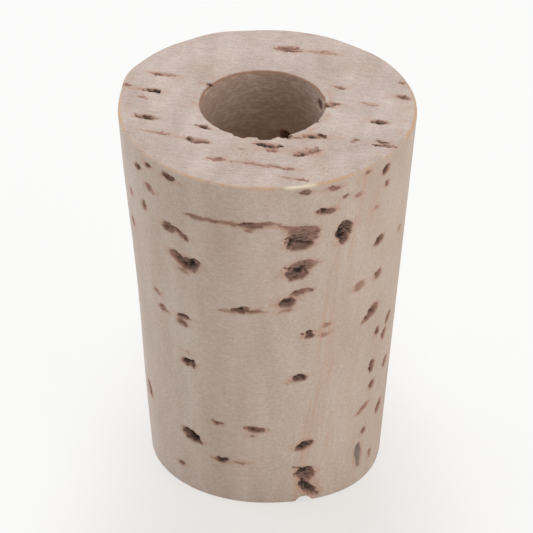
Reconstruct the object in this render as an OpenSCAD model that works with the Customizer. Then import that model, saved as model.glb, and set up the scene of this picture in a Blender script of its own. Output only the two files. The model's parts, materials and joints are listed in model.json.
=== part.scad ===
// Bored cork stopper: a tapered plug of natural cork, drilled through from end to end for a tube.
// It stands on its narrow end. The lenticels, the long pores of the bark, all lie along one grain
// direction, and the skin cuts them open as streaks, slits and pits. Most are shallow, and a cleft is
// a deeper crack within one.

/* [Body] */
// Diameter of the wide end
top_d = 24; // [18:0.5:32]
// Diameter of the narrow end
foot_d = 18.5; // [14:0.5:28]
// Length from end to end
length = 32; // [20:1:45]
// Radius to which the two outer rims are worn
rim_r = 0.3; // [0.1:0.05:0.8]

/* [Bore] */
// Diameter of the drilled hole
bore_d = 9.8; // [4:0.1:11]
// How far the drill ran off the axis along X
bore_x = -0.4; // [-1:0.1:1]
// How far the drill ran off the axis along Y
bore_y = 0.6; // [-1:0.1:1]
// Radius of the crumbled edge at each mouth of the hole
mouth_r = 0.2; // [0.05:0.05:0.5]

/* [Grain] */
// Direction of the lenticels seen from above, turned from the X axis
grain = -14; // [-60:1:60]
// Number of lenticels that open on the back of the side
back_count = 34; // [10:1:60]
// Longest opening on the back, where the skin runs along the grain
back_run = 2.2; // [1:0.1:4]
// Thickness of a lenticel on the back
back_girth = 0.7; // [0.3:0.05:1.2]
// Depth to which a lenticel on the back is open
back_depth = 0.3; // [0.15:0.05:0.6]

/* [Hidden] */
$fn = 48;

top_r = top_d / 2;
foot_r = foot_d / 2;
taper = atan((top_r - foot_r) / length);

// How far a cutting shape stands clear of the skin that it cuts
proud = 1;

// Radius of the side at a height
function side_r(height) = foot_r + (top_r - foot_r) * height / length;

// Azimuth of the middle of the front, and of a place at a distance along the skin from there
front = -90;
function front_azimuth(across, height) = front + across / side_r(height) * 180 / PI;

// Lenticels on the side that shows its streaks, left of the middle of the front.
// Each row: distance from that middle along the skin, height, run, girth, depth, tilt.
left_lenticels = [
    [-12.6, 30.0, 1.3, 0.55, 0.4, 18],
    [-11, 31.0, 1.1, 0.45, 0.3, 18],
    [-8.6, 31.0, 1.4, 0.75, 0.3, -15],
    [-10.8, 28.8, 1.0, 0.7, 0.2, -20],
    [-11.7, 26.6, 1.0, 0.7, 0.25, 90],
    [-14.1, 26.5, 0.8, 0.6, 0.2, 90],
    [-14.3, 23.3, 1.0, 0.6, 0.2, 90],
    [-8.6, 26.0, 1.6, 0.95, 0.3, 3],
    [-7.3, 25.8, 1.8, 0.55, 0.3, -34],
    [-7.6, 23.4, 2.5, 1.0, 0.3, -15],
    [-6.5, 23.1, 2.0, 1.3, 0.4, 6],
    [-7.2, 22.3, 0.9, 0.5, 0.15, -32],
    [-5.9, 28.1, 2.1, 0.4, 0.25, 2],
    [-4.3, 28.2, 2.1, 0.4, 0.25, 2],
    [-2.9, 28.2, 1.9, 0.4, 0.25, 2],
    [-1.4, 28.2, 2.0, 0.7, 0.3, 3],
    [-1.6, 27.7, 0.7, 0.3, 0.2, 0],
    [0, 28.4, 2.0, 0.4, 0.2, 3],
    [-10.2, 18.6, 1.0, 0.5, 0.15, -14],
    [-9.4, 17.2, 1.1, 0.55, 0.25, -7],
    [-7.2, 17.5, 1.6, 0.35, 0.55, 9],
    [-7.3, 16.9, 0.9, 0.8, 0.2, -10],
    [-3.2, 19.4, 1.8, 0.35, 0.2, 4],
    [-1.9, 19.6, 1.5, 0.75, 0.3, 1],
    [-0.8, 19.6, 1.8, 0.35, 0.2, 4],
    [-6.6, 13.0, 1.4, 0.85, 0.35, 6],
    [-6.9, 14.0, 0.6, 0.4, 0.15, -60],
    [-12.4, 7.0, 1.8, 0.8, 0.3, -60],
    [-6.5, 5.6, 2.2, 1.05, 0.4, -22],
    [-7.6, 2.2, 0.8, 0.45, 0.3, 20],
    [-4, 7.7, 1.0, 0.4, 0.25, -3],
    [-0.8, 7.6, 1.7, 0.55, 0.3, -9],
    [-1, 6.9, 0.7, 0.35, 0.2, 0],
    [-3.7, 4.0, 1.7, 0.5, 0.3, 4],
    [-2, 4.1, 1.7, 0.3, 0.15, 0]
];

// Clefts in those lenticels, in the same form
left_clefts = [
    [-12.5, 30.2, 0.8, 0.35, 0.6, 4],
    [-10.7, 31.2, 0.5, 0.3, 0.5, -20],
    [-8.3, 30.9, 0.6, 0.3, 0.5, -20],
    [-8.8, 25.8, 0.9, 0.3, 0.45, 14],
    [-7.7, 26.1, 0.9, 0.4, 0.5, -25],
    [-7.4, 23.6, 1.3, 0.25, 0.5, 4],
    [-5.9, 23.6, 0.9, 0.45, 0.7, -43],
    [-6.5, 22.9, 1.0, 0.3, 0.55, 85],
    [-4.3, 28.2, 0.4, 0.25, 0.5, 0],
    [-1.9, 28.2, 0.7, 0.25, 0.5, -12],
    [-1.3, 28.3, 0.5, 0.25, 0.55, -2],
    [-2.2, 19.6, 0.9, 0.3, 0.55, 8],
    [-6.6, 13.1, 0.9, 0.4, 0.6, 11],
    [-6.8, 5.8, 1.0, 0.4, 0.65, -14],
    [-6.1, 5.4, 1.0, 0.5, 0.6, -33],
    [-4, 7.7, 0.6, 0.25, 0.45, 6],
    [-1.2, 7.5, 0.8, 0.25, 0.5, 4],
    [-3.6, 4.0, 1.2, 0.3, 0.6, 8]
];

// Lenticels on its right, where the skin turns across the grain and the openings stand taller
right_lenticels = [
    [3.1, 31.3, 1.0, 0.7, 0.25, 0],
    [5.5, 31.2, 1.3, 0.55, 0.25, -18],
    [6.6, 30.0, 0.7, 0.5, 0.3, 28],
    [7.8, 29.7, 0.8, 0.45, 0.2, -15],
    [9.9, 27.5, 0.7, 0.45, 0.15, 0],
    [4.9, 29.1, 1.8, 0.65, 0.3, -10],
    [11, 30.8, 1.2, 0.85, 0.35, 55],
    [8.8, 31.5, 0.8, 0.4, 0.2, 8],
    [11.2, 29.3, 0.7, 0.5, 0.35, 90],
    [2.8, 27.4, 2.7, 1.3, 0.3, -7],
    [2.6, 26.3, 2.4, 1.4, 0.4, -5],
    [1.8, 26.5, 1.8, 0.5, 0.35, 85],
    [3.9, 27.1, 1.6, 0.6, 0.25, 80],
    [1.7, 28.0, 1.9, 0.45, 0.25, -16],
    [6.5, 26.7, 1.9, 1.4, 0.45, 72],
    [6.5, 25.8, 1.2, 0.7, 0.4, 62],
    [10.4, 23.9, 1.4, 0.8, 0.35, 20],
    [13.9, 23.0, 0.9, 0.5, 0.2, 0],
    [2.8, 24.0, 2.7, 1.1, 0.3, 6],
    [2.3, 23.2, 1.9, 1.1, 0.4, 4],
    [2.7, 21.4, 1.9, 0.55, 0.3, 15],
    [1.6, 20.5, 1.7, 1.0, 0.35, 12],
    [1.6, 19.7, 1.3, 0.35, 0.15, 18],
    [10.4, 20.4, 1.0, 0.75, 0.3, 70],
    [8.1, 20.3, 1.3, 0.9, 0.15, 14],
    [9.1, 16.5, 1.5, 0.6, 0.25, 27],
    [9.9, 17.0, 1.5, 1.1, 0.3, 29],
    [12.5, 14.6, 1.2, 0.9, 0.3, 50],
    [3.4, 17.0, 1.0, 0.75, 0.45, -3],
    [5, 17.6, 0.7, 0.6, 0.15, 10],
    [4.8, 16.7, 1.0, 0.55, 0.15, -10],
    [10.6, 14.3, 0.8, 0.65, 0.4, 90],
    [11.8, 13.4, 1.1, 0.8, 0.3, 50],
    [2.5, 12.7, 1.2, 0.75, 0.4, 13],
    [1.9, 12.3, 0.8, 0.25, 0.15, 32],
    [10, 11.1, 1.3, 0.7, 0.3, 88],
    [12.5, 10.0, 1.2, 0.9, 0.3, 52],
    [10.1, 9.1, 0.9, 0.7, 0.35, 56],
    [9, 7.2, 2.1, 0.5, 0.2, 21],
    [11.6, 5.8, 1.3, 1.0, 0.35, 60],
    [3.1, 5.7, 1.7, 0.7, 0.4, 25],
    [9.2, 4.8, 0.7, 0.6, 0.3, 70],
    [3.2, 2.8, 1.8, 1.25, 0.4, -12],
    [2.7, 3.4, 1.1, 0.3, 0.35, -34],
    [3.3, 2.1, 1.1, 0.5, 0.25, -32],
    [3.4, 1.3, 2.4, 0.9, 0.45, -45],
    [3.1, 0.1, 1.4, 1.0, 0.9, -10],
    [8.4, 2.8, 2.3, 0.8, 0.35, 85],
    [10, 2.0, 0.9, 0.5, 0.2, 90]
];

// Clefts in those lenticels
right_clefts = [
    [3, 31.3, 0.5, 0.25, 0.45, -15],
    [5.3, 31.2, 0.7, 0.25, 0.5, -20],
    [6.5, 29.9, 0.4, 0.3, 0.45, 37],
    [4.7, 29.1, 1.0, 0.25, 0.55, -5],
    [11, 30.8, 0.8, 0.45, 0.55, 50],
    [1.9, 26.5, 1.2, 0.25, 0.65, 100],
    [2.9, 26.2, 1.2, 0.25, 0.65, -8],
    [6.2, 26.4, 1.6, 0.5, 0.75, 104],
    [10.4, 23.9, 0.8, 0.45, 0.55, 16],
    [2.6, 23.5, 1.0, 0.5, 0.6, 13],
    [1.7, 23.9, 0.6, 0.25, 0.5, -42],
    [2.2, 21.4, 0.7, 0.25, 0.55, 19],
    [1.5, 20.4, 1.1, 0.3, 0.55, 9],
    [3.6, 21.4, 0.4, 0.25, 0.45, 17],
    [10.1, 20.6, 0.4, 0.3, 0.45, 40],
    [9.2, 16.5, 0.5, 0.3, 0.4, 15],
    [9.9, 16.8, 0.7, 0.45, 0.5, 24],
    [3.3, 17.1, 0.6, 0.35, 0.75, -12],
    [11.7, 13.0, 0.4, 0.35, 0.45, 31],
    [2.5, 12.6, 0.9, 0.3, 0.6, 15],
    [10.1, 11.3, 0.6, 0.4, 0.5, 83],
    [10, 10.6, 0.4, 0.3, 0.45, 70],
    [3, 5.7, 0.9, 0.4, 0.65, 29],
    [3, 2.9, 0.9, 0.5, 0.7, 2],
    [2.9, 1.8, 1.0, 0.3, 0.6, -41],
    [3.6, 0.9, 1.4, 0.5, 0.65, -22],
    [8.3, 1.8, 0.4, 0.35, 0.5, 60]
];

// Lenticels that the top face opens. Each row: x, y, run, girth, depth, turn from the grain.
top_lenticels = [
    [-8.0, 4.8, 2.3, 0.45, 0.25, 0],
    [-9.2, 2.5, 2.3, 0.5, 0.3, 0],
    [-11.2, 3.3, 1.0, 0.5, 0.2, 5],
    [-10.0, 1.5, 0.8, 0.4, 0.15, -4],
    [-9.7, -1.5, 1.9, 0.55, 0.25, 0],
    [-4.9, -3.0, 1.6, 0.5, 0.4, -17],
    [-8.7, -3.8, 4.2, 0.3, 0.15, -5],
    [-5.7, -4.9, 2.0, 0.7, 0.3, -5],
    [1.7, 8.9, 2.3, 1.0, 0.25, 8],
    [4.4, 8.4, 3.4, 0.45, 0.15, 6],
    [5.8, 3.1, 0.9, 0.45, 0.25, -15],
    [10.9, 1.6, 1.4, 0.6, 0.25, -8],
    [10.9, 3.8, 0.5, 0.4, 0.15, -15],
    [8.9, -2.0, 1.4, 0.6, 0.3, -6],
    [8.0, 0.7, 1.4, 0.3, 0.15, -14],
    [5.1, 0.5, 1.4, 0.75, 0.15, 24],
    [4.5, 0.5, 0.9, 0.6, 0.9, 24],
    [-4.7, 3.5, 1.0, 0.4, 0.3, 0],
    [3.8, -4.2, 2.5, 0.75, 0.3, 12],
    [2.5, -4.5, 1.0, 0.4, 0.15, 16],
    [1.4, -4.2, 1.3, 0.8, 1.2, 4],
    [-0.3, -4.3, 2.4, 0.6, 0.5, 12],
    [6.8, -4.8, 0.5, 0.45, 0.2, 10],
    [9.1, -5.0, 0.8, 0.4, 0.5, -3],
    [9.5, -5.6, 1.8, 0.45, 0.25, 7],
    [0.1, -5.7, 2.7, 0.85, 0.25, 0],
    [0.4, -6.4, 1.7, 0.4, 0.15, 4],
    [-1.9, -6.1, 0.7, 0.35, 0.15, 0],
    [3.1, -6.7, 2.5, 0.85, 0.15, 30],
    [3.8, -6.2, 1.0, 0.4, 0.3, 36],
    [3.4, -7.2, 1.2, 0.5, 0.3, 3],
    [2.4, -7.0, 0.9, 0.35, 0.3, 26],
    [-4.0, -7.7, 1.5, 0.45, 0.2, 5],
    [0, -8.6, 7.3, 0.35, 0.15, 1],
    [1.8, -9.1, 1.5, 0.5, 0.2, 5],
    [2.0, -10.5, 2.3, 0.35, 0.15, 0]
];

// Clefts in those lenticels, in the same form
top_clefts = [
    [-8.5, 4.9, 0.9, 0.25, 0.4, 4],
    [-9.0, 2.4, 1.4, 0.3, 0.6, 3],
    [-10.0, -1.3, 1.2, 0.25, 0.4, -10],
    [-5.1, -2.9, 0.9, 0.3, 0.7, -22],
    [-4.6, -3.2, 0.7, 0.25, 0.55, -8],
    [1.9, 8.8, 0.9, 0.4, 0.4, 5],
    [5.8, 3.1, 0.6, 0.25, 0.4, -19],
    [8.5, -2.0, 0.5, 0.3, 0.4, -3],
    [3.8, -4.2, 0.9, 0.25, 0.45, 8],
    [9.6, -5.7, 0.5, 0.3, 0.55, 2],
    [10.1, -5.7, 0.5, 0.25, 0.45, 5],
    [8.8, -5.5, 0.4, 0.25, 0.45, 0],
    [-0.6, -5.6, 0.5, 0.3, 0.55, -8],
    [-0.1, -5.7, 0.8, 0.25, 0.4, 9],
    [1.1, -6.0, 0.6, 0.35, 0.4, 7],
    [2.6, -6.9, 0.4, 0.3, 0.5, 22],
    [3.6, -6.3, 0.4, 0.25, 0.45, 33],
    [3.1, -7.1, 0.4, 0.25, 0.4, -6],
    [-0.1, -8.8, 0.5, 0.25, 0.4, -3],
    [3.0, -10.8, 0.4, 0.25, 0.4, 3]
];

// Lenticels that the foot face opens, in the same form
foot_lenticels = [
    [-6.8, 1.6, 2.2, 0.6, 0.35, 2],
    [-5.9, -3.6, 1.6, 0.5, 0.3, -4],
    [-3.2, 6.9, 2.6, 0.5, 0.3, 3],
    [-1.4, -6.3, 2.4, 0.7, 0.4, 0],
    [1.8, 7.6, 1.4, 0.5, 0.3, -6],
    [3.4, -6.9, 1.7, 0.5, 0.3, 4],
    [6.3, -3.1, 2.0, 0.7, 0.4, 0],
    [6.4, 2.6, 1.5, 0.5, 0.3, -5]
];

// Lenticels on the back, scattered in azimuth and height by fixed seeds. Where the skin runs along the grain an opening is
// as long as back_run, and where it cuts across the grain it is a blunt end.
back_start = -8;
back_end = 184;
back_clear = 1.2;
girth_spread = 0.35;
depth_spread = 0.4;
blunt = 1.4;
azimuth_seed = 11;
height_seed = 23;
girth_seed = 5;
depth_seed = 7;
azimuths = rands(back_start, back_end, back_count, azimuth_seed);
heights = rands(back_clear, length - back_clear, back_count, height_seed);
girths = back_girth * rands(1 - girth_spread, 1 + girth_spread, back_count, girth_seed);
depths = back_depth * rands(1 - depth_spread, 1 + depth_spread, back_count, depth_seed);
back_lenticels = [
    for (i = [0 : back_count - 1])
        let (along = abs(sin(azimuths[i] - grain)))
        [azimuths[i], heights[i], max(blunt * girths[i], back_run * along), girths[i], depths[i], 0]
];

// Clefts on the back and the foot: each a smaller, deeper cut in the middle of its lenticel
cleft_run = 0.55;
cleft_girth = 0.4;
cleft_depth = 1.7;
function cleft(row) =
    [row[0], row[1], cleft_run * row[2], cleft_girth * row[3], cleft_depth * row[4], row[5]];
back_clefts = [for (row = back_lenticels) cleft(row)];
foot_clefts = [for (row = foot_lenticels) cleft(row)];

// A pocket cut into a level skin from above: two arcs that meet at its tips, along X
module pocket(run, girth, depth) {
    arc_r = (run * run + girth * girth) / (4 * girth);
    translate([0, 0, -depth])
        linear_extrude(depth + proud)
            intersection() {
                translate([0, arc_r - girth / 2]) circle(arc_r);
                translate([0, girth / 2 - arc_r]) circle(arc_r);
            }
}

// A lenticel that opens on the side, square to the skin and tilted up from the level
module side_lenticel(azimuth, height, run, girth, depth, tilt) {
    rotate([0, 0, azimuth])
        translate([side_r(height), 0, height])
            rotate([0, 90 + taper, 0])
                rotate([0, 0, 90 + tilt])
                    pocket(run, girth, depth);
}

// A lenticel that opens on a level face, turned from the grain
module face_lenticel(x, y, run, girth, depth, turn) {
    translate([x, y, 0])
        rotate([0, 0, grain + turn])
            pocket(run, girth, depth);
}

// The plug: a tapered profile with both rims worn round, turned about the axis
module plug() {
    top_rim_x = side_r(length - rim_r) - rim_r / cos(taper);
    foot_rim_x = side_r(rim_r) - rim_r / cos(taper);
    flank = [rim_r * cos(taper), -rim_r * sin(taper)];
    rotate_extrude() {
        polygon([
            [0, 0],
            [foot_rim_x, 0],
            [foot_rim_x, rim_r] + flank,
            [top_rim_x, length - rim_r] + flank,
            [top_rim_x, length],
            [0, length]
        ]);
        translate([foot_rim_x, rim_r]) circle(rim_r);
        translate([top_rim_x, length - rim_r]) circle(rim_r);
    }
}

// The drilled hole, with a mouth that flares by a quarter round at each end
module bore() {
    bore_r = bore_d / 2;
    translate([bore_x, bore_y, 0]) {
        translate([0, 0, -proud]) cylinder(h = length + 2 * proud, r = bore_r);
        mouth_flare(bore_r);
        translate([0, 0, length]) mirror([0, 0, 1]) mouth_flare(bore_r);
    }
}

// The ring that a mouth loses: a square ring less the round of its edge
module mouth_flare(bore_r) {
    rotate_extrude()
        difference() {
            translate([bore_r - mouth_r, -mouth_r]) square(2 * mouth_r);
            translate([bore_r + mouth_r, mouth_r]) circle(mouth_r);
        }
}

module cork_stopper() {
    color("#bfa694")
        difference() {
            plug();
            bore();
            for (row = concat(left_lenticels, right_lenticels, left_clefts, right_clefts))
                side_lenticel(front_azimuth(row[0], row[1]), row[1], row[2], row[3], row[4], row[5]);
            for (row = concat(back_lenticels, back_clefts))
                side_lenticel(row[0], row[1], row[2], row[3], row[4], row[5]);
            translate([0, 0, length])
                for (row = concat(top_lenticels, top_clefts))
                    face_lenticel(row[0], row[1], row[2], row[3], row[4], row[5]);
            mirror([0, 0, 1])
                for (row = concat(foot_lenticels, foot_clefts))
                    face_lenticel(row[0], row[1], row[2], row[3], row[4], row[5]);
        }
}

cork_stopper();
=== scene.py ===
"""Bored cork stopper: the dressed part, laid out as a Blender add-on and run as a script.

Lengths inside the functions are millimetres. Settings and meshes are in metres, as Blender keeps them.
"""

import json
from itertools import product
from math import atan, cos, degrees, radians, sin

import bpy
import numpy as np
from mathutils import Matrix, Vector


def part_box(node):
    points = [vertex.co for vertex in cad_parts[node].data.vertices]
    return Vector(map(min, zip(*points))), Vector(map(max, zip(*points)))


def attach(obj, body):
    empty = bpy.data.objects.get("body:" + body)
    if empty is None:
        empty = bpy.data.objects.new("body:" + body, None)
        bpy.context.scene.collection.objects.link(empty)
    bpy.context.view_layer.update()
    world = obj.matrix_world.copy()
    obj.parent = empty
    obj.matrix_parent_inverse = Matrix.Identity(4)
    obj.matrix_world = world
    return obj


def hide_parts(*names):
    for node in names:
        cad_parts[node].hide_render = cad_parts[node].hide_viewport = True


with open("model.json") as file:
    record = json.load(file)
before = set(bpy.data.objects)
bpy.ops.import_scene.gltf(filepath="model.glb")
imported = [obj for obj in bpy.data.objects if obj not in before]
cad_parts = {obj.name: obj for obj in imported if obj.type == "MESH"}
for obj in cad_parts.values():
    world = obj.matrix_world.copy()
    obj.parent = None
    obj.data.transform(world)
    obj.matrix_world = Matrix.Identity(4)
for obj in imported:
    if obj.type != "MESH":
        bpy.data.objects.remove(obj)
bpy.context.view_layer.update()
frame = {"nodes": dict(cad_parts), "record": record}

bl_info = {
    "name": "Bored cork stopper",
    "version": (1, 0, 0),
    "blender": (4, 5, 0),
    "location": "3D View > Sidebar > Cork stopper",
    "description": "Dresses the packed cork stopper and sets a plain studio round it",
    "category": "Object",
}

MM = 0.001
NODE = "cork_stopper"
BODY = "root"

tube_bore = next(m for m in frame["record"]["mounts"] if m["name"] == "tube_bore")
bore_at = tube_bore["pos_m"]
node_low, node_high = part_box(NODE)


def linear(code):
    """An sRGB hex colour as linear light, with full alpha."""
    parts = np.array([int(code[i : i + 2], 16) for i in (1, 3, 5)]) / 255
    light = np.where(parts <= 0.04045, parts / 12.92, ((parts + 0.055) / 1.055) ** 2.4)
    return (*light.tolist(), 1.0)


def length_setting(name, description, millimetres):
    """A length property whose default is given in millimetres."""
    return bpy.props.FloatProperty(
        name=name, description=description, default=millimetres * MM, unit="LENGTH", precision=4
    )


def colour_setting(name, description, code):
    """A colour property whose default is given as an sRGB hex code."""
    return bpy.props.FloatVectorProperty(
        name=name, description=description, default=linear(code), size=4, subtype="COLOR", min=0, max=1
    )


class CorkShape(bpy.types.PropertyGroup):
    """Sizes of the stopper and of the wear in its skin."""

    top_diameter: length_setting("Top diameter", "Diameter of the wide end", 24)
    foot_diameter: length_setting("Foot diameter", "Diameter of the narrow end", 18.5)
    length: length_setting("Length", "Length from end to end, as packed", (node_high.z - node_low.z) / MM)
    rim_radius: length_setting("Rim radius", "Radius to which the outer rims are worn", 0.3)
    bore_diameter: length_setting("Bore", "Diameter of the drilled hole", 2 * tube_bore["dims"]["r_mm"])
    mouth_radius: length_setting("Mouth radius", "Radius of the crumbled edge of the bore", 0.2)
    grain: bpy.props.FloatProperty(
        name="Grain",
        description="Direction of the lenticels from the X axis",
        default=radians(-14),
        subtype="ANGLE",
    )
    ragged: length_setting("Ragged", "How far a lenticel's edge wanders from its cut outline", 0.11)
    frayed: length_setting("Frayed", "How far fibres pull a lenticel's ends along the grain", 0.45)
    bulge: length_setting("Bulge", "How far the top swells out of round at the back left", 0.42)
    toe: length_setting("Toe", "How far the foot spreads at the right front", 0.4)
    tail: length_setting("Tail", "How far the rusty dust of a lenticel runs along the grain", 1.2)
    torn: length_setting("Torn", "Depth to which the drill tore the wall of the bore", 0.14)


class CorkColours(bpy.types.PropertyGroup):
    """Colours of the cork, as they look in plain light."""

    pale: colour_setting("Pale cork", "The lighter tissue of the side", "#d9c8b9")
    tan: colour_setting("Tan cork", "The darker tissue of the side", "#b9a28f")
    sanded: colour_setting("Sanded cork", "The lighter tissue of the sanded ends", "#dfcfc4")
    dusty: colour_setting("Dusty cork", "The darker tissue of the sanded ends", "#ac968a")
    ring: colour_setting("Growth band", "The pinkish bands of slow growth", "#c69a7e")
    tails: colour_setting("Tails", "Orange dust in the fibres beside a lenticel", "#bd8a6c")
    rust: colour_setting("Rust", "Reddish dust in the shallow lenticels", "#a27b6b")
    lining: colour_setting("Lining", "Brown powder that lines the deeper lenticels", "#866a5d")
    # Painted shade as well as powder: the nearly black colour of the deepest clefts
    dark_powder_and_shade: colour_setting("Dark", "The clefts", "#463a33")
    slate: colour_setting("Slate", "The one grey lenticel, low on the right", "#9a9086")
    rim: colour_setting("Rim", "The tan edge of the wide end", "#cfa883")
    chipped: colour_setting("Chipped", "The fresh pale chip on that edge", "#f1e4c9")
    lip: colour_setting("Lip", "The orange brown edge of the bore", "#9c765f")
    drilled: colour_setting("Drilled", "The torn wall of the bore", "#bb9e8b")
    polished: colour_setting("Polished", "Pale specks where the drill polished the wall", "#dcc5b5")


class StageLook(bpy.types.PropertyGroup):
    """The studio."""

    floor: colour_setting("Floor", "Colour of the floor", "#f2f0ee")
    # Painted shadow: the card's glow is darker in front of the stopper, where the stopper's soft shadow falls
    shadowed_glow: colour_setting("Near glow", "How the lit card looks in front of the stopper", "#ebe7e3")
    far: colour_setting("Far glow", "How the lit card looks behind the stopper", "#fefefd")
    sky: bpy.props.FloatProperty(
        name="Sky", description="Strength of the even light from all round", default=0.335
    )
    lamps: bpy.props.FloatProperty(
        name="Lamps", description="Strength of all lamps together", default=1.0
    )


def add_node(tree, kind, options=None, inputs=None):
    """Adds a node to a tree. Options are its own settings. An input is filled with a socket or a value."""
    made = tree.nodes.new(kind)
    for name, value in (options or {}).items():
        setattr(made, name, value)
    for place, value in (inputs or {}).items():
        if isinstance(value, bpy.types.NodeSocket):
            tree.links.new(value, made.inputs[place])
        else:
            made.inputs[place].default_value = value
    return made


# The grid of the skin: columns round the axis, and a block of cells that is one face where the skin is plain
COLUMNS = 720
BLOCK = 4

# Millimetres of the upper bore, which the eye reaches
SEEN_BORE = 10

# Where each patch lies on the map for baking its colours, in millimetres, and the width of the map
PATCH_AT = {"side": (0.8, 0.8), "top": (13.0, 48.2), "foot": (35.5, 46.0), "bore": (45.6, 35.8)}
MAP_WIDTH = 78

# How wide the side and the bore are when they are unrolled on that map, in millimetres
UNROLLED = {"side": 75.4, "bore": 30.8}

# What the material reads at each point of the skin
MARKS = ("lining", "stain", "tails", "drilled", "end", "rim", "chip", "lip", "slate")

# How far out each fall starts, how far it may go, and the depth from which it counts, in millimetres
STAND_OFF = 0.6
LONGEST_FALL = 10
LEAST_DEPTH = 0.08

# Corners along each side of the lattice of noise, which then repeats
LATTICE = 64


def ring_rows(shape):
    """The profile of the stopper as a closed loop of rings, one for each row of the grid.

    Each stretch moves a centre in a straight line in radius and height while a short arm of fixed length
    turns about it, so a straight run has a still arm and a worn edge has a still centre. A ring is a circle
    about the axis, or pulled over to the axis of the bore. From the top mouth the loop runs out over the top
    face, round the rim, down the side, round the foot rim, in over the foot face and up the bore.
    """
    top_r = shape.top_diameter / MM / 2
    foot_r = shape.foot_diameter / MM / 2
    length = shape.length / MM
    rim = shape.rim_radius / MM
    edge = shape.mouth_radius / MM
    mouth = shape.bore_diameter / MM / 2 + edge
    slope = (top_r - foot_r) / length
    taper = atan(slope)
    inset = rim / cos(taper)
    top_rim = top_r - slope * rim - inset
    foot_rim = foot_r + slope * rim - inset
    tilt = degrees(taper)
    high = length - rim
    lip = length - edge
    seen = length - SEEN_BORE
    # Patch, cells, pull to the bore, radius, height, arm, turn of the arm
    stretches = (
        ("top", 64, (1, 0), (mouth, top_rim), (length, length), 0, (90, 90)),
        ("side", 4, (0, 0), (top_rim, top_rim), (high, high), rim, (90, -tilt)),
        ("side", 320, (0, 0), (top_rim, foot_rim), (high, rim), rim, (-tilt, -tilt)),
        ("side", 4, (0, 0), (foot_rim, foot_rim), (rim, rim), rim, (-tilt, -90)),
        ("foot", 40, (0, 1), (foot_rim, mouth), (0, 0), 0, (-90, -90)),
        ("bore", 4, (1, 1), (mouth, mouth), (edge, edge), edge, (-90, -180)),
        ("bore", 48, (1, 1), (mouth, mouth), (edge, seen), edge, (180, 180)),
        ("bore", 96, (1, 1), (mouth, mouth), (seen, lip), edge, (180, 180)),
        ("bore", 4, (1, 1), (mouth, mouth), (lip, lip), edge, (180, 90)),
    )
    columns = []
    patches = []
    for patch, cells, *ends, arm, turn in stretches:
        along = np.arange(cells) / cells
        pull, radius, height = (start + (end - start) * along for start, end in ends)
        angle = np.radians(turn[0] + (turn[1] - turn[0]) * along)
        radius = radius + arm * np.cos(angle)
        height = height + arm * np.sin(angle)
        worn = np.full(cells, float(turn[0] != turn[1]))
        columns.append(np.stack([pull, radius, height, np.cos(angle), np.sin(angle), worn]))
        patches += [patch] * (cells // BLOCK)
    return np.concatenate(columns, axis=1), np.array(patches)


def value_noise(points, cell, seed):
    """Smooth noise from 0 to 1: a seeded value at each corner of a lattice, eased between the corners."""
    corners = np.random.default_rng(seed).random((LATTICE, LATTICE, LATTICE))
    place = points / np.asarray(cell)
    base = np.floor(place).astype(int)
    part = place - base
    ease = part * part * (3 - 2 * part)
    total = np.zeros(points.shape[:-1])
    for corner in product((0, 1), repeat=3):
        share = np.prod(np.where(corner, ease, 1 - ease), axis=-1)
        at = (base + corner) % LATTICE
        total += share * corners[at[..., 0], at[..., 1], at[..., 2]]
    return total


def vector_noise(points, cell, seed):
    """Three separate noises from -1 to 1, as a vector at each point."""
    return np.stack([value_noise(points, cell, seed + k) for k in range(3)], axis=-1) * 2 - 1


def eased(low, high, values):
    """0 at low and 1 at high, with a smooth step between, whichever of the two is greater."""
    part = np.clip((values - low) / (high - low), 0, 1)
    return part * part * (3 - 2 * part)


def spread(field, cells):
    """The mean of a field over a square of cells about each one, round the grid's joined edges."""
    for axis in (0, 1):
        field = sum(np.roll(field, k, axis) for k in range(-cells, cells + 1)) / (2 * cells + 1)
    return field


def fall_onto(solid, starts, inward):
    """How far each start falls along its own direction before it meets the solid, in millimetres."""
    cloud = bpy.data.meshes.new("rays")
    cloud.vertices.add(len(starts))
    cloud.vertices.foreach_set("co", (starts * MM).astype(np.float32).ravel())
    aim = cloud.attributes.new("inward", "FLOAT_VECTOR", "POINT")
    aim.data.foreach_set("vector", inward.astype(np.float32).ravel())
    caster = bpy.data.objects.new("rays", cloud)
    bpy.context.scene.collection.objects.link(caster)
    tree = bpy.data.node_groups.new("fall", "GeometryNodeTree")
    tree.interface.new_socket("Points", in_out="INPUT", socket_type="NodeSocketGeometry")
    tree.interface.new_socket("Points", in_out="OUTPUT", socket_type="NodeSocketGeometry")
    given = add_node(tree, "NodeGroupInput")
    target = add_node(tree, "GeometryNodeObjectInfo", None, {"Object": solid})
    aimed = add_node(
        tree, "GeometryNodeInputNamedAttribute", {"data_type": "FLOAT_VECTOR"}, {"Name": "inward"}
    )
    ray = add_node(
        tree,
        "GeometryNodeRaycast",
        None,
        {
            "Target Geometry": target.outputs["Geometry"],
            "Ray Direction": aimed.outputs["Attribute"],
            "Ray Length": LONGEST_FALL * MM,
        },
    )
    kept = add_node(
        tree,
        "GeometryNodeStoreNamedAttribute",
        {"data_type": "FLOAT", "domain": "POINT"},
        {"Geometry": given.outputs[0], "Name": "fall", "Value": ray.outputs["Hit Distance"]},
    )
    add_node(tree, "NodeGroupOutput", None, {0: kept.outputs["Geometry"]})
    caster.modifiers.new("fall", "NODES").node_group = tree
    evaluated = caster.evaluated_get(bpy.context.evaluated_depsgraph_get())
    found = np.zeros(len(starts), np.float32)
    evaluated.data.attributes["fall"].data.foreach_get("value", found)
    bpy.data.objects.remove(caster)
    bpy.data.meshes.remove(cloud)
    bpy.data.node_groups.remove(tree)
    return found / MM


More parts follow.
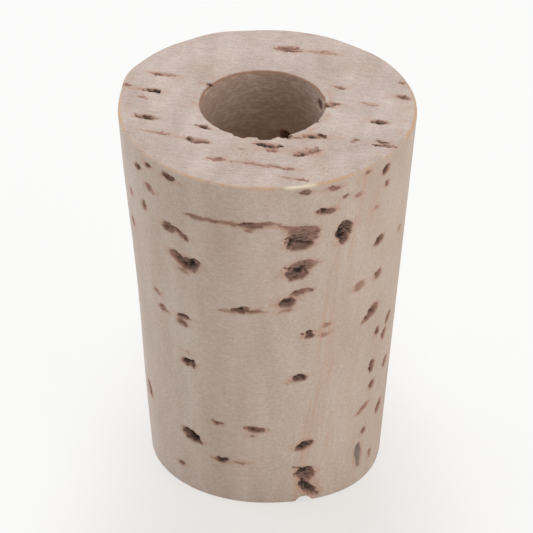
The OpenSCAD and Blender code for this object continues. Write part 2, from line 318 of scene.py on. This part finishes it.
def pit_depth(solid, plain, inward, shift):
    """Depth of the solid's lenticels under each point of the plain skin, when that is moved by a shift."""
    starts = (plain + shift - inward * STAND_OFF).reshape(-1, 3)
    depth = fall_onto(solid, starts, inward.reshape(-1, 3)).reshape(plain.shape[:2]) - STAND_OFF
    return np.where(depth > LEAST_DEPTH, depth, 0)


def widest(field):
    """The greatest value of a field among each cell and its eight neighbours."""
    for axis in (0, 1):
        field = np.maximum(field, np.maximum(np.roll(field, 1, axis), np.roll(field, -1, axis)))
    return field


def hump(away, half):
    """A smooth hump, the square of a cosine: 1 where away is 0, and 0 from half on."""
    return np.cos(np.clip(away / half, -1, 1) * np.pi / 2) ** 2


def turned(azimuth, at):
    """Degrees from one azimuth to the others, by the shorter way round."""
    return (azimuth - at + 180) % 360 - 180


def along_skin(shift, facing):
    """A shift without the part of it that leaves the skin."""
    return shift - np.sum(shift * facing, axis=-1, keepdims=True) * facing


# Noises of the skin: the size of a cell in millimetres, or three sizes along the grain, across it and
# up, and a seed
FRAYED = ((1.4, 0.17, 0.17), 41)
FLOORS = ((0.9, 0.2, 0.2), 51)
POWDER = ((0.5, 0.15, 0.15), 53)
DUST = ((4.0, 0.4, 0.4), 61)
CRUMBS = (0.5, 75)

# Noises that are added up, with the share of each before its size and seed
RAGGED = ((0.6, 0.6, 11), (0.9, 0.24, 31))
TORN = ((1.0, (0.7, 0.7, 0.45), 71), (0.5, 0.28, 73))

# Outlines are this much more ragged on the top, and this much calmer beside a worn edge
TOP_RAGGED = 0.8
EDGE_CALM = 0.8

# Linings are paler at the foot: their share there, and the heights between which that becomes 1
FOOT_LINING = 0.84
FOOT_HEIGHTS = (1, 5)

# Crumbs lost at the back of the mouth, as a share of those at its front
BACK_CRUMBS = 0.15

# Depths in millimetres: of the deepest floor that is shown, of a crumb and of a torn hole
DEEPEST = 0.6
CRUMB_DEPTH = 0.25
HOLE_DEPTH = 0.3

# How dark a torn hole is lined: brown to nearly black, which paints the shade inside the hole as well as
# powder
HOLE_LINING_AND_SHADE = 0.45

# How far from both ends the middle of the wall keeps, in millimetres
CLEAR_ENDS = 3.5

# Humps and one flat round the back of the top: azimuth and half width in degrees, and share of the bulge
HUMPS = ((139, 41, 1.0), (110, 15, 0.5), (155, 14, 0.48), (54, 14, -0.25))

# The bulge grows between two radii at the top, and some millimetres nearer the axis at the foot, where
# this share of it is left
BULGE_RADII = (6, 11)
BULGE_NEARER = 3
BULGE_AT_FOOT = 0.5

# The foot spreads at the right front and the side has a waist at the left: azimuth and half width in
# degrees, height and half height in millimetres, and share of the toe. They grow between two radii.
SWELLS = ((-44, 44, 0, 4, 1.0), (180, 55, 16, 12, -0.4))
TOE_RADII = (6, 9)

# The pale chip in the rim: its azimuth, and how far from there it is whole and where it ends, in degrees
CHIP = (-77, 4, 8)

# The grey lenticel low on the right: its middle, half width and half height in millimetres, and how
# much of its colour is grey
GREY_SLIT = ((7.26, -6.14, 2.9), 0.95, 1.6)
GREY_SHARE = 0.85

# Holes torn in the right and in the back wall of the bore: place and half width, in millimetres
TORN_HOLES = (((4.15, 2.43, 30.86), 0.6), ((1.4, 5.16, 26.0), 0.65))


def plain_grid(shape, rows, ray):
    """The plain skin, with the way that each of its points faces and the way that it falls.

    A point is the ring's centre plus its radius times the column's direction. It faces along the ring's
    arm. It falls towards the middle of the wall, which keeps clear of both ends so that corners fall inwards.
    """
    pull, radius, height, out, up, _ = rows
    bore = np.array(bore_at[:2]) / MM
    plain = np.zeros((COLUMNS, len(radius), 3))
    plain[..., :2] = pull[:, None] * bore + radius[:, None] * ray[:, None, :]
    plain[..., 2] = height
    facing = np.empty_like(plain)
    facing[..., :2] = out[:, None] * ray[:, None, :]
    facing[..., 2] = up

    length = shape.length / MM
    level = np.clip(height, CLEAR_ENDS, length - CLEAR_ENDS)
    side_r = (shape.foot_diameter + (shape.top_diameter - shape.foot_diameter) * level / length) / MM / 2
    middle_r = (side_r + shape.bore_diameter / MM / 2) / 2
    middle = np.zeros_like(plain)
    middle[..., :2] = bore / 2 + middle_r[:, None] * ray[:, None, :]
    middle[..., 2] = level
    inward = middle - plain
    return plain, facing, inward / np.linalg.norm(inward, axis=-1, keepdims=True)


def out_of_round(shape, skin, azimuth, height):
    """Factor by which each point moves out from the axis: 1 plus its swelling over its radius.

    The swelling is a sum of humps in azimuth. Those of the bulge weaken towards the foot and the axis, and
    the others are humps in height too.
    """
    girth = np.hypot(skin[..., 0], skin[..., 1])
    risen = height / (shape.length / MM)
    swell = shape.bulge / MM * sum(share * hump(turned(azimuth, at), half) for at, half, share in HUMPS)
    swell *= eased(*BULGE_RADII, girth + (1 - risen) * BULGE_NEARER)
    swell *= BULGE_AT_FOOT + (1 - BULGE_AT_FOOT) * risen
    for at, half, level, tall, share in SWELLS:
        part = hump(turned(azimuth, at), half) * hump(height - level, tall)
        swell += share * shape.toe / MM * part * eased(*TOE_RADII, girth)
    return 1 + swell / girth


def cork_skin(shape, solid):
    """The skin of the stopper on a grid of columns and rings, with what its material reads at each point.

    Each point of the plain skin falls until it meets the solid, so the solid's lenticels give the depth. The
    place from which it falls wanders by noise, which makes their outlines ragged, and a mean of the open
    cells slopes their walls. Noise then breaks up their floors, tears the wall of the bore and crumbles its
    mouth, two balls of noise make the torn holes, and smooth humps take the skin out of round.
    """
    rows, patches = ring_rows(shape)
    pull, _, height, out, up, worn = rows
    turn = np.linspace(0, 2 * np.pi, COLUMNS, endpoint=False)
    ray = np.stack([np.cos(turn), np.sin(turn)], axis=-1)
    plain, facing, inward = plain_grid(shape, rows, ray)
    on_top = up > 0.5

    # Ragged outlines, more so on the top, frayed along the grain, and calm beside a worn edge
    grain = shape.grain
    fibre = np.array([cos(grain), sin(grain), 0])
    along = plain @ np.array([[cos(grain), -sin(grain), 0], [sin(grain), cos(grain), 0], [0, 0, 1]])
    wander = shape.ragged / MM * sum(share * vector_noise(plain, cell, seed) for share, cell, seed in RAGGED)
    wander *= 1 + TOP_RAGGED * np.clip(up, 0, 1)[:, None]
    fray = (value_noise(along, *FRAYED) * 2 - 1) * (1 - (facing @ fibre) ** 2)
    wander = along_skin(wander + shape.frayed / MM * fray[..., None] * fibre, facing)
    near_edge = spread(np.broadcast_to(worn, plain.shape[:2]), 4)
    calm = (1 - EDGE_CALM * eased(0, 0.4, near_edge))[..., None]
    depth = pit_depth(solid, plain, inward, wander * calm)

    # Tails of dust: the lenticels once more, pulled both ways along the grain
    pulled = along_skin(shape.tail / MM * value_noise(along, *DUST)[..., None] * fibre, facing)
    tails = sum(pit_depth(solid, plain, inward, pulled * way * calm) > 0 for way in (-1, 1))

    # The lining follows the depth, softened and broken up, with a little more in wide lenticels and less at
    # the foot, so that the deepest parts turn nearly black, which is painted shade as well as powder. On the
    # top it is crumbled.
    opened = (depth > 0).astype(float)
    broken = value_noise(along, *FLOORS)
    crumbled = value_noise(along, *POWDER)
    softened = np.where(on_top, opened * (depth + widest(depth)) / 2, 0.7 * depth + 0.3 * spread(depth, 1))
    lining = softened * np.where(on_top, 2.6 * crumbled - 0.2, 0.65 + 0.7 * broken)
    lining += 0.05 * eased(0.75, 1, spread(opened, 4))
    lining *= FOOT_LINING + (1 - FOOT_LINING) * eased(*FOOT_HEIGHTS, height)

    # The grey of one lenticel
    slit, half, tall = GREY_SLIT
    aside = np.linalg.norm((plain - slit)[..., :2], axis=-1)
    slate = eased(half, 0.8 * half, aside) * eased(tall, 0.9 * tall, np.abs(plain[..., 2] - slit[2]))
    slate *= GREY_SHARE * eased(0.03, 0.2, lining)

    # Floors are broken, and walls are steep at the skin and slope further in
    sloped = spread(opened, 3)
    floor = np.minimum(depth, DEEPEST) * (0.6 + 0.8 * broken)
    floor *= 0.4 * eased(0.25, 0.65, spread(opened, 1)) + 0.6 * eased(0.35, 0.95, sloped)

    # The drill's tears, the torn holes, and crumbs lost from the mouth, mostly at its front
    drilled = eased(0.05, 0.4, -out)
    hole = np.zeros_like(depth)
    for at, half in TORN_HOLES:
        gone = np.linalg.norm(plain - at, axis=-1) / half + 0.5 * broken
        hole = np.maximum(hole, eased(1.25, 0.6, gone) * drilled)
    tear = sum(share * value_noise(plain, cell, seed) for share, cell, seed in TORN)
    tear /= sum(share for share, _, _ in TORN)
    mouth = eased(0, 0.3, spread(np.broadcast_to(worn * pull, plain.shape[:2]), 3))
    front = (BACK_CRUMBS + (1 - BACK_CRUMBS) * eased(0.1, -0.6, ray[:, 1]))[:, None]
    crumb = eased(0.45, 0.9, value_noise(plain, *CRUMBS)) * mouth * front
    sunk = floor + shape.torn / MM * drilled * tear + CRUMB_DEPTH * crumb + HOLE_DEPTH * hole
    skin = plain + inward * sunk[..., None]
    azimuth = np.degrees(np.arctan2(skin[..., 1], skin[..., 0]))
    skin[..., :2] *= out_of_round(shape, skin, azimuth, height)[..., None]

    edges = worn * np.clip(2 * np.abs(out) * up, 0, 1)
    rim = (1 - pull) * edges**2
    chip_at, whole, ends = CHIP
    grid = np.ones_like(depth)
    return {
        "plain": plain,
        "skin": skin,
        "marked": (floor > 0) | (worn > 0) | (hole > 0),
        "patch": patches,
        # Torn holes are lined nearly black, which paints the shade inside them
        "lining": np.maximum(lining, HOLE_LINING_AND_SHADE * hole),
        "stain": eased(0, 0.7, sloped),
        "tails": spread(np.minimum(tails, 1), 1),
        "drilled": drilled * grid,
        "end": np.abs(up) * grid,
        "rim": rim * grid,
        "chip": rim * eased(ends, whole, np.abs(azimuth - chip_at)),
        "lip": pull * edges * grid,
        "slate": slate,
    }


def skin_faces(made):
    """Corners of the faces: small squares in each block that has a mark or an edge, else one face a block.

    A plain block takes in the corners of its broken neighbours, so the faces meet everywhere. Returns the
    column and row of every corner, and how many corners each face has.
    """
    marked = made["marked"]
    columns, rows = marked.shape
    for axis in (0, 1):
        marked = marked | np.roll(marked, 1, axis) | np.roll(marked, -1, axis)
    blocks = marked.reshape(columns // BLOCK, BLOCK, rows // BLOCK, BLOCK).any(axis=(1, 3))

    square = np.array([(0, 0), (0, 1), (1, 1), (1, 0)])
    inner = np.array(list(product(range(BLOCK), repeat=2)))
    origin = np.argwhere(blocks) * BLOCK
    corners = [(origin[:, None, None] + inner[:, None] + square).reshape(-1, 2)]
    counts = [np.full(len(origin) * BLOCK * BLOCK, 4)]

    beyond = [np.roll(blocks, shift, axis) for shift, axis in ((1, 0), (-1, 1), (-1, 0), (1, 1))]
    steps = np.arange(BLOCK)[:, None]
    sides = [start * BLOCK + (end - start) * steps for start, end in zip(square, np.roll(square, -1, axis=0))]
    for pattern in product((False, True), repeat=4):
        same = ~blocks
        for broken, wanted in zip(beyond, pattern):
            same = same & (broken == wanted)
        origin = np.argwhere(same) * BLOCK
        path = np.concatenate([side if broken else side[:1] for side, broken in zip(sides, pattern)])
        corners.append((origin[:, None] + path).reshape(-1, 2))
        counts.append(np.full(len(origin), len(path)))
    return np.concatenate(corners), np.concatenate(counts)


def map_places(made, corners, counts):
    """Where each corner lies on the map: side and bore unrolled, top and foot seen flat, all at one scale."""
    plain = made["plain"]
    columns, rows = plain.shape[:2]
    patch = made["patch"][np.minimum.reduceat(corners[:, 1], np.cumsum(counts) - counts) // BLOCK]
    patch = np.repeat(patch, counts)
    ring = np.concatenate([plain[0], plain[:1, 0]])
    run = np.concatenate([[0], np.cumsum(np.linalg.norm(np.diff(ring, axis=0), axis=-1))])
    places = plain[corners[:, 0] % columns, corners[:, 1] % rows, :2].copy()
    for name, width in UNROLLED.items():
        here = patch == name
        started = corners[here, 1].min()
        places[here, 0] = corners[here, 0] / columns * width
        places[here, 1] = run[corners[here, 1]] - run[started]
    for name, at in PATCH_AT.items():
        places[patch == name] += at
    return places / MAP_WIDTH


def skin_mesh(name, made):
    """Puts the skin into a mesh, with its linings, stains and worn parts as attributes and its map."""
    corners, counts = skin_faces(made)
    columns, rows = made["lining"].shape
    index = corners[:, 0] % columns * rows + corners[:, 1] % rows
    used, vertex = np.unique(index, return_inverse=True)
    mesh = bpy.data.meshes.new(name)
    mesh.vertices.add(len(used))
    mesh.vertices.foreach_set("co", (made["skin"].reshape(-1, 3)[used] * MM).astype(np.float32).ravel())
    mesh.loops.add(len(vertex))
    mesh.loops.foreach_set("vertex_index", vertex.astype(np.int32))
    mesh.polygons.add(len(counts))
    mesh.polygons.foreach_set("loop_start", (np.cumsum(counts) - counts).astype(np.int32))
    mesh.polygons.foreach_set("use_smooth", np.ones(len(counts), bool))
    for kept in MARKS:
        values = mesh.attributes.new(kept, "FLOAT", "POINT")
        values.data.foreach_set("value", made[kept].reshape(-1)[used].astype(np.float32))
    uv = mesh.uv_layers.new(name="OFBake")
    uv.uv.foreach_set("vector", map_places(made, corners, counts).astype(np.float32).ravel())
    mesh.update(calc_edges=True)
    return mesh


# Growth bands: how far they lean, and the middle of their zone along the grain, in millimetres. Their
# share is greatest near the middle and least far from it, and next to none on the sanded ends.
BAND_LEAN = radians(-7.1)
BAND_MIDDLE = 5.27
BAND_NEAR = 0.6
BAND_FAR = 2.2
BAND_MOST = 0.7
BAND_LEAST = 0.08
BAND_ON_ENDS = 0.05

# Brings the mean of the summed noises to the middle of the tones
TONE_OFFSET = -0.98

# How strongly the streaks break up a lining
STREAKED = 2.2

# How strong the stain round a lenticel is, and the height of the specks in millimetres
STAIN_SHARE = 0.35
SPECK_HEIGHT = 0.05


def cork_material(shape, colours):
    """Natural cork, cut, sanded and drilled: matte and pinkish tan.

    The eye sees fine streaks along the grain, a soft blush, faint bands of growth across the grain, and
    lenticels lined with deep brown powder, darkest in their deepest parts, where that darkness is painted
    shade as well as powder. The powder is rusty where it thins out at their edges, and orange dust trails off
    along the fibres. The rim of the wide end is tan, and the bore is darker and scratched.
    """
    material = bpy.data.materials.new("natural_cork_cut_and_drilled")
    material.use_nodes = True
    tree = material.node_tree
    tree.nodes.clear()
    mark = {
        name: add_node(tree, "ShaderNodeAttribute", {"attribute_name": name}).outputs["Fac"] for name in MARKS
    }
    place = add_node(tree, "ShaderNodeTexCoord").outputs["Object"]

    # Millimetres along the grain, across it and up, and the same leaning as the growth bands do
    grained = add_node(
        tree,
        "ShaderNodeMapping",
        None,
        {"Vector": place, "Rotation": (0, 0, -shape.grain), "Scale": (1 / MM,) * 3},
    ).outputs[0]
    leaning = add_node(
        tree, "ShaderNodeMapping", None, {"Vector": grained, "Rotation": (0, BAND_LEAN, 0)}
    ).outputs[0]

    # Noises: where each is read, its size in millimetres along the grain, across it and up, its detail,
    # roughness and distortion
    noise = {}
    for name, at, size, detail, roughness, distortion in (
        ("streak", grained, (1.2, 0.13, 0.13), 3, 0.6, 0),
        ("speck", grained, (0.2, 0.2, 0.2), 3, 0.6, 0),
        ("cloud", grained, (2.5, 5.0, 12.0), 3, 0.6, 0),
        ("blush", grained, (3.0, 3.0, 7.0), 4, 0.65, 0),
        ("band", leaning, (0.5, 6.0, 9.0), 5, 0.7, 0.4),
        ("scratch", grained, (0.6, 0.6, 0.25), 4, 0.75, 0),
        ("freckle", grained, (0.4, 0.2, 0.2), 0, 0.5, 0),
    ):
        cells = tuple(1 / length for length in size)
        scaled = add_node(tree, "ShaderNodeVectorMath", {"operation": "MULTIPLY"}, {0: at, 1: cells})
        noise[name] = add_node(
            tree,
            "ShaderNodeTexNoise",
            None,
            {
                "Vector": scaled.outputs[0],
                "Scale": 1,
                "Detail": detail,
                "Roughness": roughness,
                "Distortion": distortion,
            },
        ).outputs[0]

    # How much of a noise shows: where it starts and is full, and its least and greatest share
    shown = {}
    for name, low, high, least, most in (
        ("blush", 0.45, 0.7, 0, 0.16),
        ("band", 0.46, 0.7, 0, 1),
        ("scratch", 0.43, 0.74, 0, 1),
        ("cloud", 0.38, 0.56, 0.25, 1),
        ("streak", 0.4, 0.6, 0, 0.7),
        ("freckle", 0.7, 0.76, 0, 0.45),
    ):
        shown[name] = add_node(
            tree,
            "ShaderNodeMapRange",
            None,
            {"Value": noise[name], "From Min": low, "From Max": high, "To Min": least, "To Max": most},
        ).outputs[0]

    # Tissue from dark to pale by a sum of noises, with other colours on the sanded ends, and the drilled wall
    tone = TONE_OFFSET
    for name, share in (("streak", 0.9), ("speck", 0.95), ("cloud", 1.1)):
        tone = add_node(
            tree, "ShaderNodeMath", {"operation": "MULTIPLY_ADD"}, {0: noise[name], 1: share, 2: tone}
        ).outputs[0]
    side, sanded, wall = (
        add_node(tree, "ShaderNodeMix", {"data_type": "RGBA"}, {0: share, 6: under, 7: over}).outputs[2]
        for share, under, over in (
            (tone, colours.tan, colours.pale),
            (tone, colours.dusty, colours.sanded),
            (shown["scratch"], colours.drilled, colours.polished),
        )
    )

    # The zone of the growth bands, which fade away from its middle and on the ends
    apart = add_node(tree, "ShaderNodeSeparateXYZ", None, {0: leaning}).outputs[0]
    off = add_node(tree, "ShaderNodeMath", {"operation": "SUBTRACT"}, {0: apart, 1: BAND_MIDDLE}).outputs[0]
    off = add_node(tree, "ShaderNodeMath", {"operation": "ABSOLUTE"}, {0: off}).outputs[0]
    zone = add_node(
        tree,
        "ShaderNodeMapRange",
        {"interpolation_type": "SMOOTHSTEP"},
        {
            "Value": off,
            "From Min": BAND_FAR,
            "From Max": BAND_NEAR,
            "To Min": BAND_LEAST,
            "To Max": BAND_MOST,
        },
    ).outputs[0]
    zone = add_node(
        tree, "ShaderNodeMapRange", None, {"Value": mark["end"], "To Min": zone, "To Max": BAND_ON_ENDS}
    ).outputs[0]

    # Bands, the patchy rim, the stain, dust in the fibres beside the lenticels, and freckles on the ends
    bands, rim, stain, tails, freckles = (
        add_node(tree, "ShaderNodeMath", {"operation": "MULTIPLY"}, {0: whole, 1: share}).outputs[0]
        for whole, share in (
            (shown["band"], zone),
            (mark["rim"], shown["cloud"]),
            (mark["stain"], STAIN_SHARE),
            (mark["tails"], shown["streak"]),
            (shown["freckle"], mark["end"]),
        )
    )
    dust = add_node(tree, "ShaderNodeMath", {"operation": "MAXIMUM"}, {0: tails, 1: freckles}).outputs[0]

    # Linings: rust where a lenticel is shallow, then brown, then nearly black where it is deepest, which is
    # powder and painted shade together, broken up by the streaks
    rough = add_node(
        tree,
        "ShaderNodeMath",
        {"operation": "MULTIPLY_ADD"},
        {0: noise["streak"], 1: STREAKED, 2: -STREAKED / 2},
    ).outputs[0]
    lining = mark["lining"]
    rough = add_node(
        tree, "ShaderNodeMath", {"operation": "MULTIPLY_ADD"}, {0: rough, 1: lining, 2: lining}
    ).outputs[0]
    rusty, brown, black_powder_and_shade = (
        add_node(
            tree, "ShaderNodeMapRange", None, {"Value": rough, "From Min": low, "From Max": high}
        ).outputs[0]
        for low, high in ((0.03, 0.22), (0.25, 0.38), (0.39, 0.6))
    )

    # Each coat lies over the ones before it
    flesh = side
    for share, coat in (
        (mark["end"], sanded),
        (shown["blush"], colours.ring),
        (bands, colours.ring),
        (mark["drilled"], wall),
        (rim, colours.rim),
        (mark["chip"], colours.chipped),
        (mark["lip"], colours.lip),
        (dust, colours.tails),
        (stain, colours.tails),
        (rusty, colours.rust),
        (brown, colours.lining),
        # The deepest clefts turn nearly black: powder and painted shade together
        (black_powder_and_shade, colours.dark_powder_and_shade),
        (mark["slate"], colours.slate),
    ):
        flesh = add_node(
            tree, "ShaderNodeMix", {"data_type": "RGBA"}, {0: share, 6: flesh, 7: coat}
        ).outputs[2]
    bump = add_node(
        tree,
        "ShaderNodeBump",
        None,
        {"Height": noise["speck"], "Strength": 0.4, "Distance": SPECK_HEIGHT * MM},
    )
    shader = add_node(
        tree,
        "ShaderNodeBsdfPrincipled",
        None,
        {"Base Color": flesh, "Roughness": 0.85, "Specular IOR Level": 0.25, "Normal": bump.outputs[0]},
    )
    add_node(tree, "ShaderNodeOutputMaterial", None, {"Surface": shader.outputs[0]})
    return material


class CORK_OT_body(bpy.types.Operator):
    """Builds the cork with its ragged lenticels and drilled bore"""

    bl_idname = "cork.body"
    bl_label = "Cork body"

    def execute(self, context):
        shape = context.scene.cork_shape
        made = cork_skin(shape, frame["nodes"][NODE])
        mesh = skin_mesh("cork_body", made)
        mesh.materials.append(cork_material(shape, context.scene.cork_colours))
        body = bpy.data.objects.new("cork_body", mesh)
        context.scene.collection.objects.link(body)
        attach(body, BODY)
        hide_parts(NODE)
        return {"FINISHED"}


def plain_sight(tree):
    """1 for a ray that comes from the camera, directly or by a mirror or a pane, and 0 for all other rays."""
    path = add_node(tree, "ShaderNodeLightPath")
    sight = path.outputs["Is Camera Ray"]
    for kind in ("Is Glossy Ray", "Is Transmission Ray"):
        sight = add_node(
            tree, "ShaderNodeMath", {"operation": "MAXIMUM"}, {0: sight, 1: path.outputs[kind]}
        ).outputs[0]
    return sight


# The glow of the card, darker close in front of the stopper as a painted shadow: its share in what the camera
# sees, and where it turns from the front colour to the back one, in millimetres behind the stopper. A step
# aside counts as more steps back, from a strip in the middle on, so the painted shadow lies straight in
# front.
GLOW_SHARE = 0.8
GLOW_NEAR = -20
GLOW_FAR = 40
GLOW_ASIDE = 3.6
GLOW_STRIP = 7


def card_material(look):
    """White card that glows for the camera as if lit from below, as on a light table.

    The camera sees mostly its glow, which is darker in front of the stopper as a painted shadow, and the
    rest is the card's own white with the real shadow on it.
    """
    material = bpy.data.materials.new("white_card_with_painted_shadow")
    material.use_nodes = True
    tree = material.node_tree
    tree.nodes.clear()
    place = add_node(tree, "ShaderNodeTexCoord").outputs["Object"]
    apart = add_node(tree, "ShaderNodeSeparateXYZ", None, {0: place})
    aside = add_node(tree, "ShaderNodeMath", {"operation": "ABSOLUTE"}, {0: apart.outputs[0]}).outputs[0]
    aside = add_node(
        tree, "ShaderNodeMath", {"operation": "SUBTRACT"}, {0: aside, 1: GLOW_STRIP * MM}
    ).outputs[0]
    aside = add_node(tree, "ShaderNodeMath", {"operation": "MAXIMUM"}, {0: aside, 1: 0}).outputs[0]
    away = add_node(
        tree, "ShaderNodeMath", {"operation": "MULTIPLY_ADD"}, {0: aside, 1: GLOW_ASIDE, 2: apart.outputs[1]}
    ).outputs[0]
    back = add_node(
        tree,
        "ShaderNodeMapRange",
        {"interpolation_type": "SMOOTHSTEP"},
        {"Value": away, "From Min": GLOW_NEAR * MM, "From Max": GLOW_FAR * MM},
    ).outputs[0]
    # The painted shadow: the glow turns from the darker colour in front of the stopper to the white behind it
    colour = add_node(
        tree, "ShaderNodeMix", {"data_type": "RGBA"}, {0: back, 6: look.shadowed_glow, 7: look.far}
    ).outputs[2]
    glow = add_node(tree, "ShaderNodeEmission", None, {"Color": colour, "Strength": 1.0}).outputs[0]
    card = add_node(tree, "ShaderNodeBsdfDiffuse", None, {"Color": look.floor}).outputs[0]
    share = add_node(
        tree, "ShaderNodeMath", {"operation": "MULTIPLY"}, {0: plain_sight(tree), 1: GLOW_SHARE}
    ).outputs[0]
    mixed = add_node(tree, "ShaderNodeMixShader", None, {0: share, 1: card, 2: glow}).outputs[0]
    add_node(tree, "ShaderNodeOutputMaterial", None, {"Surface": mixed})
    return material


# The floor: half its width in metres, and the points along a side
FLOOR_HALF = 2.0
FLOOR_POINTS = 9

# Lamps: name, place and size in metres, watts, colour
LAMPS = (
    ("soft_top", (0.02, 0.12, 0.9), 0.9, 4.6, "#ffffff"),
    ("soft_right", (0.65, -0.5, 0.3), 0.6, 2.4, "#f8fbff"),
    ("soft_left", (-0.8, 0.3, 0.35), 0.6, 3.9, "#dae9ff"),
)

# The camera, from the photograph's viewing angle: millimetres, and degrees
CAMERA_AIM = (0, 0, 16)
CAMERA_REACH = 960
CAMERA_ELEVATION = 32.98
CAMERA_SHIFT = (-0.0204, 0.7214)
CAMERA_ROLL = 0.26
CAMERA_LENS = 803.5
CAMERA_SENSOR = 36


class CORK_OT_stage(bpy.types.Operator):
    """Sets the floor, the soft lamps, the white surround and the camera"""

    bl_idname = "cork.stage"
    bl_label = "Stage"

    def execute(self, context):
        look = context.scene.cork_stage
        scene = context.scene
        spots = np.linspace(-FLOOR_HALF, FLOOR_HALF, FLOOR_POINTS)
        across, along = np.meshgrid(spots, spots, indexing="ij")
        points = np.stack([across, along, np.zeros_like(across)], axis=-1).reshape(-1, 3)
        at = np.arange(FLOOR_POINTS**2).reshape(FLOOR_POINTS, FLOOR_POINTS)
        quads = np.stack([at[:-1, :-1], at[1:, :-1], at[1:, 1:], at[:-1, 1:]], axis=-1).reshape(-1, 4)
        mesh = bpy.data.meshes.new("floor")
        mesh.from_pydata(points.tolist(), [], quads.tolist())
        floor = bpy.data.objects.new("floor", mesh)
        scene.collection.objects.link(floor)
        mesh.materials.append(card_material(look))

        for name, spot, size, watts, code in LAMPS:
            lamp = bpy.data.lights.new(name, "AREA")
            lamp.size = size
            lamp.energy = watts * look.lamps
            lamp.color = linear(code)[:3]
            holder = bpy.data.objects.new(name, lamp)
            holder.location = spot
            holder.rotation_mode = "QUATERNION"
            holder.rotation_quaternion = Vector(spot).to_track_quat("Z", "Y")
            holder.visible_camera = False
            scene.collection.objects.link(holder)

        # The surround is white to the eye and dimmer as a light
        world = bpy.data.worlds.new("white_surround")
        scene.world = world
        world.use_nodes = True
        tree = world.node_tree
        tree.nodes.clear()
        strength = add_node(
            tree, "ShaderNodeMapRange", None, {"Value": plain_sight(tree), "To Min": look.sky, "To Max": 1.0}
        ).outputs[0]
        sky = add_node(tree, "ShaderNodeBackground", None, {"Color": (1, 1, 1, 1), "Strength": strength})
        add_node(tree, "ShaderNodeOutputWorld", None, {"Surface": sky.outputs[0]})

        rise = radians(CAMERA_ELEVATION)
        ahead = Vector((0, cos(rise), -sin(rise)))
        right = Vector((1, 0, 0))
        over = right.cross(ahead)
        eye = Vector(CAMERA_AIM) - ahead * CAMERA_REACH + right * CAMERA_SHIFT[0] + over * CAMERA_SHIFT[1]
        aimed = Matrix((right, over, -ahead)).transposed() @ Matrix.Rotation(radians(CAMERA_ROLL), 3, "Z")
        lens = bpy.data.cameras.new("camera")
        lens.lens = CAMERA_LENS
        lens.sensor_width = CAMERA_SENSOR
        camera = bpy.data.objects.new("camera", lens)
        camera.matrix_world = Matrix.Translation(eye * MM) @ aimed.to_4x4()
        scene.collection.objects.link(camera)
        scene.camera = camera
        scene.view_settings.view_transform = "Standard"
        return {"FINISHED"}


class CORK_PT_panel(bpy.types.Panel):
    """Lists the settings and the steps"""

    bl_idname = "CORK_PT_panel"
    bl_label = "Cork stopper"
    bl_space_type = "VIEW_3D"
    bl_region_type = "UI"
    bl_category = "Cork stopper"

    def draw(self, context):
        for group in SETTINGS:
            for name in getattr(context.scene, group).bl_rna.properties.keys():
                if name not in ("rna_type", "name"):
                    self.layout.prop(getattr(context.scene, group), name)
        for step in STEPS:
            self.layout.operator(step.bl_idname)


SETTINGS = {"cork_shape": CorkShape, "cork_colours": CorkColours, "cork_stage": StageLook}
STEPS = (CORK_OT_body, CORK_OT_stage)


def register():
    """Makes the settings, the operators and the panel known to Blender."""
    for name, group in SETTINGS.items():
        bpy.utils.register_class(group)
        setattr(bpy.types.Scene, name, bpy.props.PointerProperty(type=group))
    for step in STEPS:
        bpy.utils.register_class(step)
    bpy.utils.register_class(CORK_PT_panel)


def unregister():
    """Takes the panel, the operators and the settings away again."""
    bpy.utils.unregister_class(CORK_PT_panel)
    for step in reversed(STEPS):
        bpy.utils.unregister_class(step)
    for name, group in SETTINGS.items():
        delattr(bpy.types.Scene, name)
        bpy.utils.unregister_class(group)


def main():
    """Builds the stopper and its stage."""
    register()
    bpy.ops.cork.body()
    bpy.ops.cork.stage()


if __name__ == "__main__":
    main()
